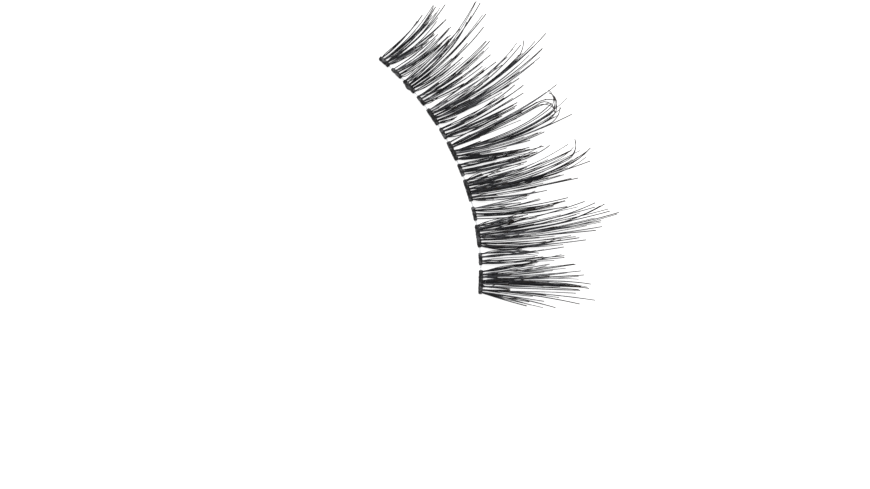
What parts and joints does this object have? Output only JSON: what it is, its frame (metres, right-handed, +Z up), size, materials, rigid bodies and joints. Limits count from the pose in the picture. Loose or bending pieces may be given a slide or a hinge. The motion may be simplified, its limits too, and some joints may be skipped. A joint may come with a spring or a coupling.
{
  "type": "false eyelash strip",
  "caption": "False eyelash strip: a clear curved band thread with wound root knots, and fans of dark curled lashes growing from each knot.",
  "frame": {"origin": "middle of the flat underside of the middle knot, on the surface that the strip lies on", "axes": "+X along the band at the middle knot, towards the end with the long fan; +Y outwards, the way the lashes point; +Z up from the surface, the way they curl"},
  "size_m": [0.0401, 0.0211, 0.0048],
  "materials": {
    "clear_thread": "clear drawn nylon thread",
    "wound_hair": "black synthetic hair wound tightly and set with clear glue",
    "lash_hair": "black tapered synthetic hair, soft sheen"
  },
  "bodies": {
    "root": {"band_thread": "clear_thread", "root_knot_01": "wound_hair", "root_knot_02": "wound_hair", "root_knot_03": "wound_hair", "root_knot_04": "wound_hair", "root_knot_05": "wound_hair", "root_knot_06": "wound_hair", "root_knot_07": "wound_hair", "root_knot_08": "wound_hair", "root_knot_09": "wound_hair", "root_knot_10": "wound_hair", "root_knot_11": "wound_hair", "root_knot_12": "wound_hair", "root_knot_13": "wound_hair", "lash_tuft_01": "lash_hair", "lash_tuft_02": "lash_hair", "lash_tuft_03": "lash_hair", "lash_tuft_04": "lash_hair", "lash_tuft_05": "lash_hair", "lash_tuft_06": "lash_hair", "lash_tuft_07": "lash_hair", "lash_tuft_08": "lash_hair", "lash_tuft_09": "lash_hair", "lash_tuft_10": "lash_hair", "lash_tuft_11": "lash_hair", "lash_tuft_12": "lash_hair", "lash_tuft_13": "lash_hair"}
  },
  "joints": []
}
